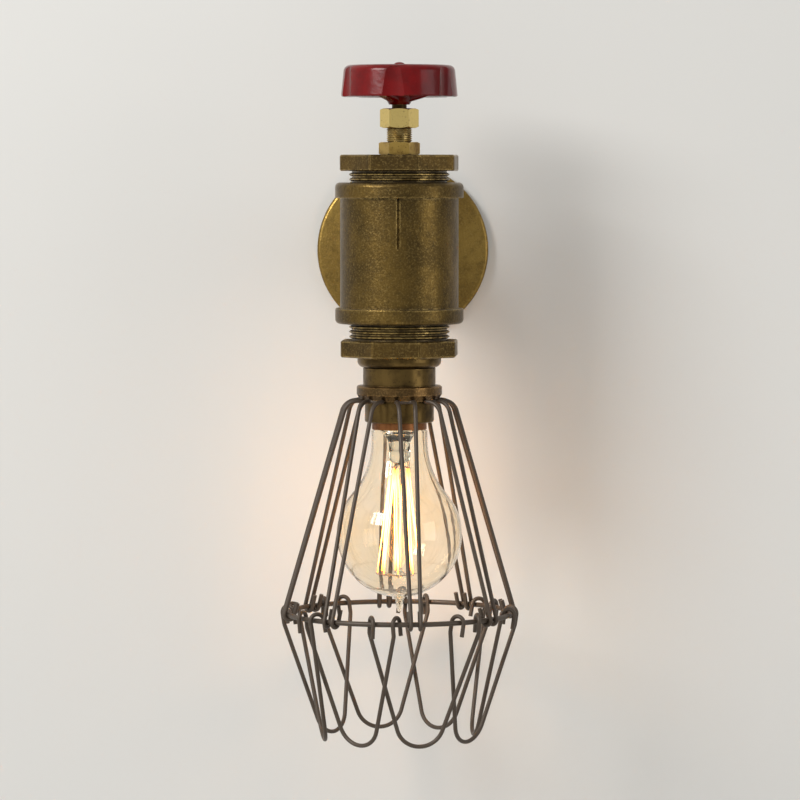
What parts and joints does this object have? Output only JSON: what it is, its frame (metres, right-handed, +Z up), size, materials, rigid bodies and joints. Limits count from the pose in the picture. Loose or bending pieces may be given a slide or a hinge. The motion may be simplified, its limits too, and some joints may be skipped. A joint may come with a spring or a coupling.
{
  "type": "industrial pipe wall light",
  "caption": "Wall light made of pipe fittings: a tee on a wall flange, a tap handwheel on top, a bare lamp holder below, and a wire guard whose foot opens like an iris round the bulb.",
  "frame": {"origin": "centre of the wall flange's back face, on the wall", "axes": "+Z up along the lamp axis, +Y into the wall along the flange's axis, +X to the right for someone who faces the wall"},
  "size_m": [0.114, 0.145, 0.3236],
  "materials": {
    "iron": "dark bronze patina over cast and cut iron, satin",
    "aged_brass": "aged brass, satin",
    "bright_brass": "turned brass",
    "red_paint": "glossy dark red enamel",
    "packing": "graphited cord",
    "rubber": "matt",
    "porcelain": "glazed porcelain",
    "steel": "zinc-plated",
    "live_cover": "brown insulation",
    "neutral_cover": "blue insulation",
    "clear_glass": "clear",
    "cap_glass": "black vitrite glass",
    "filament": "glowing",
    "guard_wire": "dark bronze plated wire, satin"
  },
  "bodies": {
    "root": {"wall_flange": "iron", "branch_nipple": "iron", "tee_body": "iron", "upper_bushing": "iron", "lower_bushing": "iron", "valve_bonnet": "aged_brass", "holder_adapter": "aged_brass", "holder_sleeve": "aged_brass", "guard_collar": "aged_brass", "packing_nut": "bright_brass", "gland_follower": "bright_brass", "screw_shell": "bright_brass", "centre_contact": "bright_brass", "contact_rivets": "bright_brass", "live_terminal": "bright_brass", "neutral_terminal": "bright_brass", "gland_packing": "packing", "holder_insert": "porcelain", "terminal_block": "porcelain", "terminal_screws": "steel", "block_clamp_screws": "steel", "block_fixing_screws": "steel", "earth_washer": "steel", "earth_screw": "steel", "live_lead": "live_cover", "neutral_lead": "neutral_cover", "hairpin_1": "guard_wire", "hairpin_2": "guard_wire", "hairpin_3": "guard_wire", "hairpin_4": "guard_wire", "hairpin_5": "guard_wire", "hairpin_6": "guard_wire", "hairpin_7": "guard_wire", "hairpin_8": "guard_wire", "guard_ring": "guard_wire"},
    "valve_disc": {"disc_carrier": "bright_brass", "disc_retainer": "bright_brass", "rubber_disc": "rubber", "disc_screw": "bright_brass"},
    "valve_spindle": {"valve_stem": "bright_brass", "handwheel": "red_paint", "wheel_washer": "bright_brass", "wheel_nut": "red_paint"},
    "bulb": {"bulb_glass": "clear_glass", "bulb_cap": "bright_brass", "cap_insulator": "cap_glass", "cap_contact": "bright_brass", "glass_mount": "clear_glass", "filament": "filament", "filament_supports": "steel"},
    "petal_1": {"petal_1": "guard_wire"},
    "petal_2": {"petal_2": "guard_wire"},
    "petal_3": {"petal_3": "guard_wire"},
    "petal_4": {"petal_4": "guard_wire"},
    "petal_5": {"petal_5": "guard_wire"},
    "petal_6": {"petal_6": "guard_wire"},
    "petal_7": {"petal_7": "guard_wire"},
    "petal_8": {"petal_8": "guard_wire"}
  },
  "joints": [
    {"name": "disc_rise", "type": "slide", "parent": "root", "child": "valve_disc", "axis": [0, 0, 1], "range_m": [0, 0.0075]},
    {"name": "wheel_turn", "type": "hinge", "parent": "valve_disc", "child": "valve_spindle", "pos_m": [0, -0.088, 0.08], "axis": [0, 0, 1], "range_deg": [0, 1080]},
    {"name": "bulb_out", "type": "slide", "parent": "root", "child": "bulb", "axis": [0, 0, -1], "range_m": [0, 0.024]},
    {"name": "petal_1_open", "type": "hinge", "parent": "root", "child": "petal_1", "pos_m": [0.0127, -0.1329, -0.1722], "axis": [-0.9622, -0.2723, 0], "range_deg": [0, 48]},
    {"name": "petal_2_open", "type": "hinge", "parent": "root", "child": "petal_2", "pos_m": [0.04073, -0.11077, -0.1722], "axis": [-0.4879, -0.8729, 0], "range_deg": [0, 48]},
    {"name": "petal_3_open", "type": "hinge", "parent": "root", "child": "petal_3", "pos_m": [0.0449, -0.0753, -0.1722], "axis": [0.2723, -0.9622, 0], "range_deg": [0, 48]},
    {"name": "petal_4_open", "type": "hinge", "parent": "root", "child": "petal_4", "pos_m": [0.02277, -0.04727, -0.1722], "axis": [0.8729, -0.4879, 0], "range_deg": [0, 48]},
    {"name": "petal_5_open", "type": "hinge", "parent": "root", "child": "petal_5", "pos_m": [-0.0127, -0.0431, -0.1722], "axis": [0.9622, 0.2723, 0], "range_deg": [0, 48]},
    {"name": "petal_6_open", "type": "hinge", "parent": "root", "child": "petal_6", "pos_m": [-0.04073, -0.06524, -0.1722], "axis": [0.4879, 0.8729, 0], "range_deg": [0, 48]},
    {"name": "petal_7_open", "type": "hinge", "parent": "root", "child": "petal_7", "pos_m": [-0.0449, -0.10071, -0.1722], "axis": [-0.2723, 0.9622, 0], "range_deg": [0, 48]},
    {"name": "petal_8_open", "type": "hinge", "parent": "root", "child": "petal_8", "pos_m": [-0.02277, -0.12873, -0.1722], "axis": [-0.8729, 0.4879, 0], "range_deg": [0, 48]}
  ],
  "couplings": [
    {"joint": "disc_rise", "follows": "wheel_turn", "m_per_rad": 0.00039789},
    {"joint": "petal_2_open", "follows": "petal_1_open", "ratio": 1},
    {"joint": "petal_3_open", "follows": "petal_1_open", "ratio": 1},
    {"joint": "petal_4_open", "follows": "petal_1_open", "ratio": 1},
    {"joint": "petal_5_open", "follows": "petal_1_open", "ratio": 1},
    {"joint": "petal_6_open", "follows": "petal_1_open", "ratio": 1},
    {"joint": "petal_7_open", "follows": "petal_1_open", "ratio": 1},
    {"joint": "petal_8_open", "follows": "petal_1_open", "ratio": 1}
  ]
}
